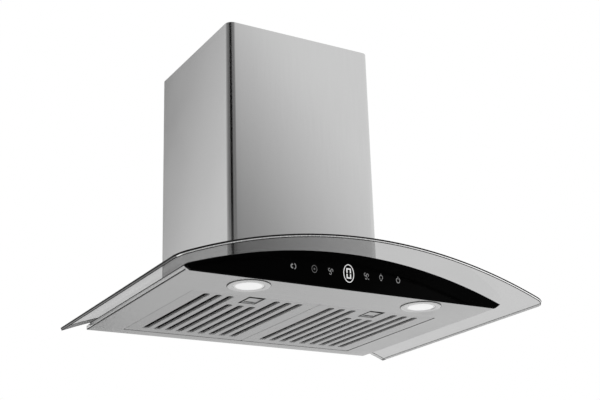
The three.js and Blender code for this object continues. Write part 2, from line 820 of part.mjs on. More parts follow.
function upperCover() {
  const inset = sheet + innerCover.clearance;
  const plan = coverPlan(
    chimney.halfWidth - inset,
    chimney.front + inset,
    innerCover.back,
    chimney.cornerRadius - inset,
    innerCover.flange,
  );
  return raised(plan, innerCover.bottom, innerCover.top, 6);
}

function wallBracket() {
  const { plateHalf, earX, step, earDepth, low, high } = chimneyBracket;
  const half = [
    [plateHalf, 0],
    [plateHalf, -step],
    [earX, -step],
    [earX, -earDepth],
    [earX - sheet, -earDepth],
    [earX - sheet, -step - sheet],
    [plateHalf - sheet, -step - sheet],
    [plateHalf - sheet, -sheet],
  ];
  const mirrored = half.map(([x, y]) => [-x, y]).reverse();
  return raised(polygon([...half, ...mirrored].reverse()), low, high);
}

add("chimney_lower", lowerCover(), finish.steel);
add("chimney_upper", upperCover(), finish.steel);
add("chimney_bracket", wallBracket(), finish.galvanised);

const rangeHood = new THREE.Group();
rangeHood.add(hood);
export default rangeHood;
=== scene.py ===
# Looks of the curved glass range hood, built round its CAD model.
# Metres, +Z up, +Y towards the wall, origin on the wall midway between the hanging windows.
# Pieces are drawn with heights that count from the underside of the body, then lowered into that frame.
import json
import math

import bmesh
import bpy
from mathutils import Matrix, Vector

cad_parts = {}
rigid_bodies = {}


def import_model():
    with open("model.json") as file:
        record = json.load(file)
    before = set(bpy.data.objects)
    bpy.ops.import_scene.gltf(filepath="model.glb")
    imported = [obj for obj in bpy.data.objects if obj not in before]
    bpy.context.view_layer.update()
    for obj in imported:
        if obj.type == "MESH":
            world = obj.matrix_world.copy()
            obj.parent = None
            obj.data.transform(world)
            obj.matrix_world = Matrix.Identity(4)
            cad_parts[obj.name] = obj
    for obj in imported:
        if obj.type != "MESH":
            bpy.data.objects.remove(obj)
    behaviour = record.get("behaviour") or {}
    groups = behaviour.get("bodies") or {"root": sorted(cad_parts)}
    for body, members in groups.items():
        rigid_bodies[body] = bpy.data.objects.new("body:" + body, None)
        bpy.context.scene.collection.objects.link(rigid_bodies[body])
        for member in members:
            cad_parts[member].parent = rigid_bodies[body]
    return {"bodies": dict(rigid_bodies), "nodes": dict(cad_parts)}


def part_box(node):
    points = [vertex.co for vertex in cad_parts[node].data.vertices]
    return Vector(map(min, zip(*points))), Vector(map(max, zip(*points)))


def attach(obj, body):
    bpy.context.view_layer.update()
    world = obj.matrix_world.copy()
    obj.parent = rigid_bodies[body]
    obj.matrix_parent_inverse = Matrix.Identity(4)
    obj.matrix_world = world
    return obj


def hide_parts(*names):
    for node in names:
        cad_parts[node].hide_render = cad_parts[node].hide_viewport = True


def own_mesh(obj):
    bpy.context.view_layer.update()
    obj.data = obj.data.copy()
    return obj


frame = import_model()
made_by_load = set(frame["nodes"].values()) | set(frame["bodies"].values())
for leftover in [o for o in bpy.data.objects if o not in made_by_load]:
    bpy.data.objects.remove(leftover)
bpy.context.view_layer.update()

mm = 0.001
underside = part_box("body_pan")[0][2]
to_frame = Matrix.Translation((0, 0, underside))
sides = {"left": -1, "right": 1}

# ---------------------------------------------------------------- sizes, in millimetres

sheet = 1.0
filter_sheet = 0.8
glass = {"half": 300, "depth": 435, "thickness": 5, "radius": 795, "apex": 58, "corner": 15, "arris": 0.6}
glass_notch = {"half": 122, "depth": 243}
glass_screw = {"x": 165, "rows": {"front": -205, "back": -60}, "glass_hole": 4, "shell_hole": 2.8}
screw_shank = [(0.01, -12.7), (1.7, -12.7), (2.2, -12.2), (2.2, 0.3)]
screw_head = [(8, 0.3), (8, 0.9), (7.6, 1.6), (6.6, 2.3), (5.2, 2.9), (4.4, 3.05)]
screw_socket = {"flat": 2.4, "rim": 3.05, "bottom": 1.2}
body = {"half": 258, "depth": 370, "fold": 2.2, "corner": 2.8, "drop": 7.9}
shell = {"half": 256.5, "back": -1.5, "front": -368.7, "drop": 8.1}
air_opening = {"half": 109, "back": -13, "front": -231, "corner": 4}
filter_opening = {"left": -206.05, "right": 208.4, "back": -22.5, "front": -282.1, "corner": 1.5}
fascia = {"back": -370.3, "front": -376, "bottom": -1.2, "bottom_half": 253, "tip_half": 262, "apex": 51.3}
fascia_radius = 765
symbol_level = 22
print_depth = 0.06
chimney = {"half": 131, "front": -249, "back": -0.5, "corner": 12, "top": 454, "flange": 12}
inner_cover = {"clearance": 0.8, "back": -2.3, "flange": 22, "bottom": 58.6, "top": 451}
cover_over_glass = 0.3
lamp = {"x": 145, "y": -332, "hole": 28}
lamp_radius = {"seal_painted_shadow": 31, "ring": 30.3, "barrel": 27.4, "lens": 21.6, "lit": 18.6}
lamp_level = {"barrel": 14, "lens": 1.4, "seat": -0.3, "edge": -0.8}
filter_face = {"x": 103.1, "half": 102.8, "back": -26, "front": -281.6, "corner": 2.5}
filter_tab = {"x": 60, "half": 10, "back": -14, "overlap": 0.5, "corner": 2, "low": 2, "high": 3.2}
slot = {"count": 9, "pitch": 18.9, "width": 10, "back": -43, "front": -272}
short_slot = {"count": 3, "front": -230}
latch_window = {"half": 13.5, "back": -242, "front": -280}
latch_plate = {"left": -8, "right": 17, "back": -238, "front": -269, "low": 1.3, "high": 2.5}
latch_grip = {"left": -6.5, "right": 10.5, "back": -246.5, "front": -251}
latch_tongue = {"half": 5, "back": -262, "front": -280.5, "low": 2.5, "high": 4.5}
latch_spring = {"radius": 1.1, "wire": 0.35, "turns": 5, "height": 4.2, "back": -246, "front": -260.8}

# Folds: the radius of the bend, the height of the turned edge and how far it leans.
opening_fold = {"radius": 0.35, "top": 6}
filter_rim_fold = {"radius": 0.35, "top": 11}
slot_fold = {"radius": 0.4, "top": 3.3, "steps": 3, "lean": 0.55}
window_fold = {"radius": 0.3, "top": 1.2, "steps": 3}

# How finely edges are cut: where they stay straight, under an arch, and on what is bent afterwards.
straight_step = 40
arch_step = 8
bend_step = 6
cover_corner_steps = 14

# Rounded edges: of thin sheets, of the pieces that keep their CAD shape, of the panel and of its print.
thin_edge = 0.2
soft_edge = 0.25
panel_bevel = 0.5
print_edge = 0.01

# Points closer than this become one: in the pieces drawn here, and in the CAD pieces.
merge_distance = 1e-4
cad_merge_distance = 0.002

# Where faces meet at more than this angle, in degrees, there is an edge. Elsewhere they blend.
sharp_angle = 38

# A face looks along an axis when that part of its unit normal is above the limit.
glass_rim_limit = 0.8
painted_highlight_side_limit = 0.99

# ---------------------------------------------------------------- outlines

# A path is a list of points with the material on its left: outer loops run anticlockwise, holes clockwise.


def arc(x, y, radius, start, end, steps):
    angles = [math.radians(start + (end - start) * i / steps) for i in range(steps + 1)]
    return [(x + radius * math.cos(a), y + radius * math.sin(a)) for a in angles]


def line(a, b, step):
    """The points from a up to b, without b."""
    count = max(1, math.ceil(math.dist(a, b) / step))
    return [(a[0] + (b[0] - a[0]) * i / count, a[1] + (b[1] - a[1]) * i / count) for i in range(count)]


def rectangle(x0, x1, y0, y1, radius=1.0, steps=4):
    path = arc(x1 - radius, y1 - radius, radius, 0, 90, steps)
    path += arc(x0 + radius, y1 - radius, radius, 90, 180, steps)
    path += arc(x0 + radius, y0 + radius, radius, 180, 270, steps)
    return path + arc(x1 - radius, y0 + radius, radius, 270, 360, steps)


def circle(x, y, radius, steps=48):
    return arc(x, y, radius, 0, 360, steps)[:-1]


def round_slot(x, back, front, width):
    radius, steps = width / 2, 10
    return arc(x, back - radius, radius, 0, 180, steps) + arc(x, front + radius, radius, 180, 360, steps)


def hole(path):
    return path[::-1]


def inset(path, distance, closed=True):
    """The path moved to its left by a distance, each corner along its bisector."""
    shifted = []
    last = len(path) - 1
    for i, (x, y) in enumerate(path):
        before = path[i - 1] if closed or i > 0 else None
        after = path[(i + 1) % len(path)] if closed or i < last else None
        normals = []
        for a, b in ((before, (x, y)), ((x, y), after)):
            if a is not None and b is not None:
                length = math.dist(a, b)
                normals.append(((a[1] - b[1]) / length, (b[0] - a[0]) / length))
        nx = sum(n[0] for n in normals)
        ny = sum(n[1] for n in normals)
        share = len(normals) / (nx * nx + ny * ny)
        shifted.append((x + nx * share * distance, y + ny * share * distance))
    return shifted


# ---------------------------------------------------------------- surfaces

arch_centre = glass["apex"] - glass["radius"]


def arch_height(x, drop=0.0):
    return arch_centre + math.sqrt((glass["radius"] - drop) ** 2 - x * x)


def level(height, x, y):
    """A height is a number, or a function of the place."""
    return height(x, y) if callable(height) else height


def ring_of(bm, path, height):
    return [bm.verts.new((x, y, level(height, x, y))) for x, y in path]


def bridge(bm, low, high, closed=True):
    """Faces between two rings with the same number of points."""
    for i in range(len(low) - (0 if closed else 1)):
        j = (i + 1) % len(low)
        bm.faces.new((low[i], low[j], high[j], high[i]))


def cap(bm, rings):
    """Fills between a ring and the rings of its holes."""
    edges = []
    for ring in rings:
        for a, b in zip(ring, ring[1:] + ring[:1]):
            edges.append(bm.edges.get((a, b)) or bm.edges.new((a, b)))
    bmesh.ops.triangle_fill(bm, edges=edges, use_beauty=True)


def rounding(radius, steps):
    """How far a rounded edge lies in from its wall and up from its face, from the face to the wall."""
    turns = [math.pi / 2 * i / steps for i in range(steps + 1)]
    return [(radius * (1 - math.sin(t)), radius * (1 - math.cos(t))) for t in turns]


def rounded_plate(loops, low, high, edge=0.3, steps=2):
    """A solid plate between two heights, with holes, all its edges rounded."""
    bm = bmesh.new()
    bottoms, tops = [], []
    curve = rounding(edge, steps)
    for loop in loops:
        rings = []
        for inward, rise in curve:
            rings.append(ring_of(bm, inset(loop, inward), lambda x, y, up=rise: level(low, x, y) + up))
        for inward, rise in reversed(curve):
            rings.append(ring_of(bm, inset(loop, inward), lambda x, y, up=rise: level(high, x, y) - up))
        bottoms.append(rings[0])
        tops.append(rings[-1])
        for a, b in zip(rings, rings[1:]):
            bridge(bm, a, b)
    cap(bm, bottoms)
    cap(bm, tops)
    return bm


def fold(bm, path, radius, top, closed=True, steps=4, lean=0.0):
    """A rounded fold that rises from height 0 along a path. Gives the ring where the flat sheet ends."""
    rings = [ring_of(bm, inset(path, inward, closed), rise) for inward, rise in rounding(radius, steps)]
    rings.append(ring_of(bm, inset(path, -lean, closed) if lean else path, top))
    for a, b in zip(rings, rings[1:]):
        bridge(bm, a, b, closed)
    return rings[0]


def lathe(profile):
    """A closed profile of (radius, height) pairs turned about Z."""
    steps = 72
    bm = bmesh.new()
    rings = []
    for radius, height in profile:
        if radius == 0:
            rings.append([bm.verts.new((0, 0, height))])
        else:
            rings.append(ring_of(bm, circle(0, 0, radius, steps), height))
    for a, b in zip(rings, rings[1:] + rings[:1]):
        if len(a) == 1 and len(b) == 1:
            continue
        if len(a) > 1 and len(b) > 1:
            bridge(bm, a, b)
            continue
        point, ring = (a[0], b) if len(a) == 1 else (b[0], a)
        for i in range(steps):
            bm.faces.new((point, ring[i], ring[(i + 1) % steps]))
    return bm


def slice_along_x(bm, half):
    """Cuts the mesh into strips, so that it can be bent."""
    count = math.floor(half / bend_step)
    for i in range(-count, count + 1):
        everything = bm.verts[:] + bm.edges[:] + bm.faces[:]
        bmesh.ops.bisect_plane(bm, geom=everything, plane_co=(i * bend_step, 0, 0), plane_no=(1, 0, 0))


def bend_to_arch(bm):
    """Height 0 becomes the top face of the glass, and every cross section stays square to it."""
    for v in bm.verts:
        turn = math.asin(v.co.x / glass["radius"])
        radius = glass["radius"] + v.co.z
        v.co.x = radius * math.sin(turn)
        v.co.z = arch_centre + radius * math.cos(turn)


def bent_sheet(loops, drop, half):
    bm = rounded_plate(loops, -drop - sheet, -drop, thin_edge)
    slice_along_x(bm, half)
    bend_to_arch(bm)
    return bm


def bent_pane(loops, thickness, arris, half):
    """A bent pane: slot 0 on its faces, and on its rim 1 (painted shade), 2 (painted reflection) and 3 (a
    darker painted reflection, at the left).
    """
    bright_band_start, bright_band_end = 0.2 * thickness, 0.5 * thickness
    bands = [(arris, 0.0, 1), (0.0, arris, 1), (0.0, bright_band_start, 2), (0.0, bright_band_end, 1)]
    bands += [(0.0, thickness - arris, 1), (arris, thickness, 0)]
    bm = bmesh.new()
    bottoms, tops = [], []
    for loop in loops:
        rings = [ring_of(bm, inset(loop, inward), rise - thickness) for inward, rise, _ in bands]
        for (low, high), (_, _, slot_index) in zip(zip(rings, rings[1:]), bands):
            before = set(bm.faces)
            bridge(bm, low, high)
            for face in set(bm.faces) - before:
                face.material_index = slot_index
        bottoms.append(rings[0])
        tops.append(rings[-1])
    cap(bm, bottoms)
    cap(bm, tops)
    slice_along_x(bm, half)
    bend_to_arch(bm)
    bm.normal_update()
    # On the left rim the bright band becomes the darker copy, painted shade. The rims that look right or
    # back are painted reflection all over.
    for face in bm.faces:
        if face.material_index == 2 and abs(face.normal.x) > glass_rim_limit:
            face.material_index = 3
        if face.material_index > 0 and max(face.normal.x, face.normal.y) > glass_rim_limit:
            face.material_index = 2
    return bm


def joined(*parts):
    """Several meshes as one piece."""
    whole = bmesh.new()
    for bm in parts:
        mesh = bpy.data.meshes.new("part")
        bm.to_mesh(mesh)
        bm.free()
        whole.from_mesh(mesh)
        bpy.data.meshes.remove(mesh)
    return whole


def moved(bm, matrix):
    bm.transform(matrix)
    return bm


def move_to(x, y, z=0.0):
    return Matrix.Translation((x, y, z))


# Stands up a piece drawn in plan: the plan becomes its front view, and its height runs towards the front.
as_front = Matrix.Rotation(math.radians(90), 4, "X")


def piece(name, bm, finish, replaces=(), *, rides="hood_body", facing=None):
    """One finished object. The widest face of an open sheet is made to look along facing, (axis, sign)."""
    bmesh.ops.remove_doubles(bm, verts=bm.verts, dist=merge_distance)
    bmesh.ops.recalc_face_normals(bm, faces=bm.faces)
    if facing is not None:
        widest = max(bm.faces, key=lambda face: face.calc_area())
        if widest.normal[facing[0]] * facing[1] < 0:
            bmesh.ops.reverse_faces(bm, faces=bm.faces)
    bm.transform(to_frame @ Matrix.Diagonal((mm, mm, mm, 1)))
    mesh = bpy.data.meshes.new(name)
    bm.to_mesh(mesh)
    bm.free()
    for material in finish if isinstance(finish, list) else [finish]:
        mesh.materials.append(material)
    mesh.shade_smooth()
    mesh.set_sharp_from_angle(angle=math.radians(sharp_angle))
    obj = bpy.data.objects.new(name, mesh)
    bpy.context.scene.collection.objects.link(obj)
    if replaces:
        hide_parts(*replaces)
    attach(obj, rides)
    return obj


def even_normals(obj):
    """Keeps the big faces flat where they meet small rounded ones."""
    modifier = obj.modifiers.new("even normals", "WEIGHTED_NORMAL")
    modifier.keep_sharp = True
    return obj


def thickened(obj, thickness=sheet):
    modifier = obj.modifiers.new("thickness", "SOLIDIFY")
    modifier.thickness = thickness * mm
    modifier.offset = -1
    modifier.use_even_offset = True
    return obj


# ---------------------------------------------------------------- materials


def node_tree(name):
    material = bpy.data.materials.new(name)
    material.use_nodes = True
    tree = material.node_tree
    return material, tree, tree.nodes["Principled BSDF"]


def set_inputs(tree, node, inputs):
    """Each input, by name or number, is linked to an output or set to a plain value."""
    for key, value in inputs.items():
        if isinstance(value, bpy.types.NodeSocket):
            tree.links.new(value, node.inputs[key])
        else:
            node.inputs[key].default_value = value


def add_node(tree, kind, output, inputs=None, **settings):
    """A shader node with its settings and inputs. Gives one of its outputs."""
    node = tree.nodes.new("ShaderNode" + kind)
    for key, value in settings.items():
        setattr(node, key, value)
    set_inputs(tree, node, inputs or {})
    return node.outputs[output]


def add_math(tree, operation, *values):
    return add_node(tree, "Math", "Value", dict(enumerate(values)), operation=operation)


def show_mix(tree, output, share, first, second):
    """Shows the first shader where the share is 0 and the second where it is 1."""
    mixed = add_node(tree, "MixShader", "Shader", {"Fac": share, 1: first, 2: second})
    tree.links.new(mixed, output.inputs["Surface"])


def triple(value):
    """A single number stands for three equal ones: a grey, or the same scale along each axis."""
    return value if isinstance(value, tuple) else (value,) * 3


def add_noise(tree, scale, detail=2.0):
    """Noise in the object's own coordinates, stretched by a scale for each axis, in cycles per metre."""
    place = add_node(tree, "TexCoord", "Object")
    stretched = add_node(tree, "Mapping", "Vector", {"Vector": place, "Scale": triple(scale)})
    return add_node(tree, "TexNoise", "Fac", {"Vector": stretched, "Scale": 1.0, "Detail": detail})


noise_low = 0.3
noise_high = 0.7


def spread(tree, value, low, high):
    """Noise turned into the range from low to high."""
    inputs = {"Value": value, "From Min": noise_low, "From Max": noise_high, "To Min": low, "To Max": high}
    return add_node(tree, "MapRange", "Result", inputs)


def mix_colours(tree, factor, first, second):
    inputs = {"Factor": factor, "A": first, "B": second}
    return add_node(tree, "Mix", "Result", inputs, data_type="RGBA")


def tinted(tree, value, colour, change):
    """A colour that goes a share darker and lighter with the noise."""
    dark = [c * (1 - change) for c in triple(colour)] + [1]
    light = [min(1, c * (1 + change)) for c in triple(colour)] + [1]
    return mix_colours(tree, spread(tree, value, 0, 1), dark, light)


def bumped(tree, value, strength, depth):
    return add_node(tree, "Bump", "Normal", {"Strength": strength, "Distance": depth, "Height": value})


def brushed(name, colour, roughness, grain, change, bump=0.06):
    """Brushed metal. grain is cycles per metre along each axis: few along the brush lines, many across."""
    material, tree, shader = node_tree(name)
    lines = add_noise(tree, grain, 3)
    clouds = add_noise(tree, 9)
    set_inputs(tree, shader, {
        "Base Color": tinted(tree, lines, colour, change),
        "Metallic": 1.0,
        "Roughness": spread(tree, clouds, roughness * 0.9, roughness * 1.1),
        "Normal": bumped(tree, lines, bump, 0.05 * mm),
    })
    return material


def plastic(name, colour, roughness, grain=900, change=0.12):
    """Moulded plastic or rubber with a fine spark-eroded texture."""
    material, tree, shader = node_tree(name)
    texture = add_noise(tree, grain)
    set_inputs(tree, shader, {
        "Base Color": tinted(tree, texture, colour, change),
        "Roughness": spread(tree, texture, roughness * 0.85, roughness * 1.15),
        "Normal": bumped(tree, texture, 0.2, 0.1 * mm),
    })
    return material


def galvanised_steel():
    """Zinc coating: patches of crystals, each a little lighter or darker."""
    material, tree, shader = node_tree("galvanised_steel")
    place = add_node(tree, "TexCoord", "Object")
    crystals = add_node(tree, "TexVoronoi", "Color", {"Vector": place, "Scale": 150})
    red = add_node(tree, "SeparateColor", "Red", {"Color": crystals})
    set_inputs(tree, shader, {
        "Base Color": tinted(tree, red, 0.41, 0.16),
        "Metallic": 1.0,
        "Roughness": spread(tree, red.node.outputs["Green"], 0.38, 0.5),
    })
    return material


def filter_inside():
    """Bright steel where it looks up into the hood, and near black where it looks down through the slots:
    painted shade for the dark inside of the filter.
    """
    material, tree, shader = node_tree("filter_inside_painted_shade")
    texture = add_noise(tree, 700)
    normal = add_node(tree, "TexCoord", "Normal")
    rise = add_node(tree, "SeparateXYZ", "Z", {"Vector": normal})
    upward = add_math(tree, "GREATER_THAN", rise, 0.9)
    painted_shade = tinted(tree, texture, 0.006, 0.12)
    bright = tinted(tree, texture, 0.5, 0.04)
    roughness = {"Value": upward, "To Min": 0.7, "To Max": 0.35}
    set_inputs(tree, shader, {
        "Base Color": mix_colours(tree, upward, painted_shade, bright),
        "Metallic": upward,
        "Roughness": add_node(tree, "MapRange", "Result", roughness),
        "Specular IOR Level": 0.05,
    })
    return material


def black_glass():
    material, tree, shader = node_tree("black_glass")
    haze = add_noise(tree, 14, 3)
    set_inputs(tree, shader, {
        "Base Color": tinted(tree, haze, 0.0008, 0.25),
        "Roughness": spread(tree, haze, 0.04, 0.09),
        "Specular IOR Level": 0.02,
    })
    return material


def matt_black():
    """Paint on the cut edge of the panel, with no gloss at all."""
    material, tree, shader = node_tree("panel_edge_matt")
    texture = add_noise(tree, 600)
    set_inputs(tree, shader, {
        "Base Color": tinted(tree, texture, 0.004, 0.2),
        "Roughness": 1.0,
        "IOR": 1.0,
    })
    return material


def clear_glass(name, tint, gloss):
    """Grey glass: what is behind it shows through, and it mirrors more where it is seen at a low angle."""
    material, tree, shader = node_tree(name)
    smears = add_noise(tree, 22)
    through = add_node(tree, "BsdfTransparent", "BSDF", {"Color": tinted(tree, smears, tint, 0.006)})
    set_inputs(tree, shader, {
        "Base Color": (0.9, 0.9, 0.9, 1),
        "Metallic": 1.0,
        "Roughness": spread(tree, smears, 0.02, 0.04),
    })
    angle = add_node(tree, "LayerWeight", "Facing")
    share = add_math(tree, "MULTIPLY_ADD", add_math(tree, "POWER", angle, 4), gloss, 0.02)
    show_mix(tree, tree.nodes["Material Output"], share, through, shader.outputs["BSDF"])
    return material


def glass_rim_painted_light(name, grey, metal, roughness, shine=0.5):
    """The ground and polished rim of the pane. Its bands paint the light that the rim throws back and the
    shade beside it: painted reflection where bright, painted shade where dark.
    """
    material, tree, shader = node_tree(name)
    grinding = add_noise(tree, 400)
    set_inputs(tree, shader, {
        "Base Color": tinted(tree, grinding, grey, 0.08),
        "Metallic": metal,
        "Roughness": spread(tree, grinding, roughness * 0.8, roughness * 1.2),
        "Specular IOR Level": shine,
    })
    return material


def lit(name, grey, strength):
    material, tree, shader = node_tree(name)
    glow = tinted(tree, add_noise(tree, 300), grey, 0.03)
    set_inputs(tree, shader, {
        "Base Color": glow,
        "Emission Color": glow,
        "Emission Strength": strength,
        "Roughness": 0.35,
    })
    return material


finishes = {
    "chimney": brushed("steel_brushed_upright", 0.59, 0.2, (2200, 2200, 14), change=0.022, bump=0.03),
    "body": brushed("steel_brushed_crosswise", 0.59, 0.25, (14, 2200, 2200), change=0.03, bump=0.04),
    "filter": brushed("steel_filter", 0.56, 0.27, (14, 1800, 1800), change=0.03, bump=0.04),
    "slot_lip": brushed("steel_slot_lip", 0.62, 0.6, (1800, 14, 1800), change=0.04, bump=0.04),
    "inner_filter_painted_shade": filter_inside(),
    "lamp_trim": brushed("steel_lamp_trim", 0.78, 0.25, 600, change=0.03),
    "small_steel": brushed("steel_plain", 0.62, 0.2, 600, change=0.03),
    "galvanised": galvanised_steel(),
    "canopy": clear_glass("canopy_glass_grey", 0.76, 0.1),
    # The glass rim's bands: painted shade, a bright painted reflection, and a darker copy of that
    # reflection for the left side.
    "glass_rim_dark": glass_rim_painted_light("glass_rim_dark", 0.004, 0.0, 0.3, 0.1),
    "glass_rim_clear": glass_rim_painted_light("glass_rim_clear", 0.93, 0.8, 0.25),
    "glass_rim_side": glass_rim_painted_light("glass_rim_side", 0.21, 0.8, 0.2),
    # A lighter copy of the body's steel for the pan's flat sides: painted highlight.
    "side_painted_highlight": brushed("steel_side_painted_highlight", 0.86, 0.2, (2200, 14, 2200), change=0.02),
    "panel": black_glass(),
    "panel_edge": matt_black(),
    "rubber": plastic("black_rubber", 0.012, 0.75, 500),
    "seal_painted_shadow": plastic("dark_seal_painted_shadow", 0.1, 0.7, 500),
    "black_plastic": plastic("black_moulded_plastic", 0.022, 0.48),
    "grey_plastic": plastic("grey_moulded_plastic", 0.165, 0.5),
    "board": plastic("circuit_board_green", (0.012, 0.07, 0.03), 0.4, 240, change=0.3),
    "lens": lit("lamp_lens_lit", 0.6, 0.72),
    "lens_rim": lit("lamp_lens_rim", 0.6, 0.35),
    "symbol": lit("symbol_dim", 0.13, 1.0),
    "symbol_faint": lit("symbol_faint", 0.05, 1.0),
    "digit": lit("symbol_lit", 0.4, 1.0),
}


# ---------------------------------------------------------------- glass, gasket and glass screws

screw_places = []
for side, sign in sides.items():
    for row, y in glass_screw["rows"].items():
        screw_places.append((f"glass_screw_{side}_{row}", sign * glass_screw["x"], y))


def screw_holes(radius):
    return [hole(circle(x, y, radius, 20)) for _, x, y in screw_places]


def canopy_outline():
    half, depth, corner = glass["half"], glass["depth"], glass["corner"]
    notch_half, notch_depth = glass_notch["half"], glass_notch["depth"]
    outline = [(half, 0), (notch_half, 0), (notch_half, -notch_depth), (-notch_half, -notch_depth)]
    outline += [(-notch_half, 0), (-half, 0)]
    outline += arc(corner - half, corner - depth, corner, 180, 270, 12)
    return outline + arc(half - corner, corner - depth, corner, 270, 360, 12)


canopy_loops = [canopy_outline(), *screw_holes(glass_screw["glass_hole"])]
canopy = bent_pane(canopy_loops, glass["thickness"], glass["arris"], glass["half"])
canopy_finish = [finishes["canopy"]]
canopy_finish += [finishes[f"glass_rim_{kind}"] for kind in ("dark", "clear", "side")]
even_normals(piece("canopy_pane", canopy, canopy_finish, ["glass_canopy"]))

air_hole = [-air_opening["half"], air_opening["half"], air_opening["front"], air_opening["back"]]
shell_loops = [
    rectangle(-shell["half"], shell["half"], shell["front"], shell["back"]),
    hole(rectangle(*air_hole, air_opening["corner"])),
    *screw_holes(glass_screw["shell_hole"]),
]
top_shell = bent_sheet(shell_loops, shell["drop"], shell["half"])
even_normals(piece("body_top_shell", top_shell, finishes["body"], ["top_shell"]))


def screw():
    """A button-head screw with a hexagon socket."""
    steps = 24
    bm = bmesh.new()
    profile = screw_shank + screw_head
    rings = [ring_of(bm, circle(0, 0, radius, steps), height) for radius, height in profile]
    for height in (screw_socket["rim"], screw_socket["bottom"]):
        hexagon = []
        for x, y in circle(0, 0, 1, steps):
            angle = math.atan2(y, x) % (math.pi / 3) - math.pi / 6
            reach = screw_socket["flat"] / math.cos(angle)
            hexagon.append((x * reach, y * reach))
        rings.append(ring_of(bm, hexagon, height))
    for a, b in zip(rings, rings[1:]):
        bridge(bm, a, b)
    cap(bm, [rings[0]])
    cap(bm, [rings[-1]])
    return bm


for name, x, y in screw_places:
    turn = Matrix.Rotation(math.asin(x / glass["radius"]), 4, "Y")
    standing = moved(screw(), move_to(x, y, arch_height(x)) @ turn)
    piece(f"{name}_detailed", standing, finishes["small_steel"], [name])

# ---------------------------------------------------------------- steel body


def wall_top(x, _):
    return arch_height(x, body["drop"])


def body_pan():
    """A folded pan, open at the back: floor, two sides and a front wall up to the arch."""
    half, depth, corner = body["half"], body["depth"], body["corner"]
    path = line((-half, 0), (-half, corner - depth), straight_step)
    path += arc(corner - half, corner - depth, corner, 180, 270, 4)[:-1]
    path += line((corner - half, -depth), (half - corner, -depth), arch_step)
    path += arc(half - corner, corner - depth, corner, 270, 360, 4)[:-1]
    path += line((half, corner - depth), (half, 0), straight_step) + [(half, 0)]
    bm = bmesh.new()
    flat_edge = fold(bm, path, body["fold"], wall_top, closed=False, steps=7)
    # The flat sides of the pan take slot 1, a lighter copy of the steel: painted highlight.
    bm.normal_update()
    for face in bm.faces:
        if abs(face.normal.x) > painted_highlight_side_limit:
            face.material_index = 1
    o = filter_opening
    mouth = hole(rectangle(o["left"], o["right"], o["front"], o["back"], o["corner"]))
    flat_edges = [flat_edge, fold(bm, mouth, **opening_fold)]
    for sign in sides.values():
        flat_edges.append(ring_of(bm, hole(circle(sign * lamp["x"], lamp["y"], lamp["hole"])), 0))
    cap(bm, flat_edges)
    return bm


pan = piece(
    "body_pan_folded",
    body_pan(),
    [finishes["body"], finishes["side_painted_highlight"]],
    ["body_pan"],
    facing=(2, -1),
)
even_normals(thickened(pan))

# ---------------------------------------------------------------- touch panel


def fascia_outline():
    f = fascia
    reach = math.degrees(math.asin(f["tip_half"] / fascia_radius))
    steps = math.ceil(2 * f["tip_half"] / arch_step)
    outline = line((-f["bottom_half"], f["bottom"]), (f["bottom_half"], f["bottom"]), straight_step)
    outline += [(f["bottom_half"], f["bottom"])]
    return outline + arc(0, f["apex"] - fascia_radius, fascia_radius, 90 - reach, 90 + reach, steps)


panel_plate = rounded_plate([fascia_outline()], -fascia["back"], -fascia["front"], panel_bevel, 3)
panel = moved(panel_plate, as_front)
bevel_top = fascia["bottom"] + 1.2 * panel_bevel
for face in panel.faces:
    if max(v.co.z for v in face.verts) < bevel_top:
        face.material_index = 1
panel_finish = [finishes["panel"], finishes["panel_edge"]]
even_normals(piece("touch_panel", panel, panel_finish, ["fascia"]))


def ribbon(path, width, closed):
    """A stroke of one width along a path, as the loops of a flat band."""
    outer = inset(path, -width / 2, closed)
    inner = inset(path, width / 2, closed)
    if closed:
        return [outer, hole(inner)]
    return [outer + inner[::-1]]


def symbol(name, x, strokes, finish, stretch=1.25):
    """Strokes, (path, width, closed), printed on the panel: drawn in plan, stretched and stood up."""
    parts = [rounded_plate(ribbon(*stroke), 0, print_depth, print_edge, 1) for stroke in strokes]
    place = move_to(x, fascia["front"], symbol_level) @ as_front @ Matrix.Diagonal((1, stretch, 1, 1))
    piece(name, moved(joined(*parts), place), finishes[finish])


def turned(path, degrees):
    c, s = math.cos(math.radians(degrees)), math.sin(math.radians(degrees))
    return [(x * c - y * s, x * s + y * c) for x, y in path]


def fan_symbol():
    """Three curved blades round a hub."""
    strokes = [(circle(0, 0, 0.8, 12), 0.7, True)]
    for turn in (20, 140, 260):
        strokes.append((turned(arc(2.3, 0, 1.7, 170, -70, 8), turn), 0.75, False))
    return strokes


def oval(half_width, half_height):
    steps = 56
    turns = [2 * math.pi * i / steps for i in range(steps)]
    return [(half_width * math.cos(t), half_height * math.sin(t)) for t in turns]


def digit_strokes(half_width, half_height, width, gap):
    """A seven-segment nought."""
    x, y = half_width, half_height
    upright = [[(s * x, m * gap), (s * x, m * y)] for s in (-1, 1) for m in (-1, 1)]
    bars = [[(-x - width / 2, s * y), (x + width / 2, s * y)] for s in (-1, 1)]
    return [(stroke, width, False) for stroke in upright + bars]


